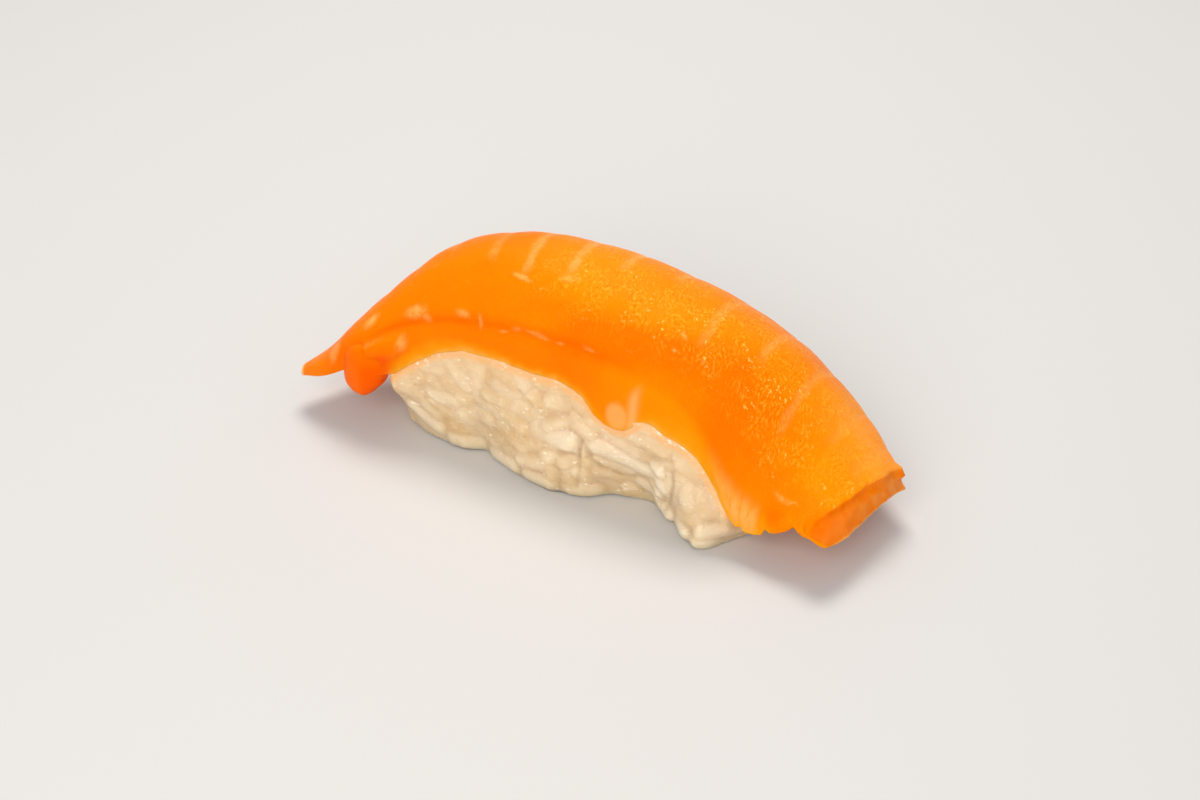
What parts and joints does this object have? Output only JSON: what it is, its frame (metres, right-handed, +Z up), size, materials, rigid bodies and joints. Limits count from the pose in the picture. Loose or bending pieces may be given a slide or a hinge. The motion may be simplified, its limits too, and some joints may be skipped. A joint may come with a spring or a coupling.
{
  "type": "salmon nigiri",
  "caption": "Piece of nigiri sushi: an oval block of pressed rice with a slice of raw salmon draped over it, its tail end hanging free and its other end cut square.",
  "frame": {"origin": "middle of the bounding box's base, on the surface that the rice stands on", "axes": "+X along the slice towards its square-cut end, -Y towards the side on which the loose lobe hangs, +Z up"},
  "size_m": [0.0814, 0.0306, 0.0275],
  "materials": {
    "rice": "moist cooked rice, soft satin grains",
    "salmon": "moist raw fish, soft gloss with pale lines of fat"
  },
  "bodies": {
    "root": {"rice": "rice", "salmon": "salmon"}
  },
  "joints": []
}
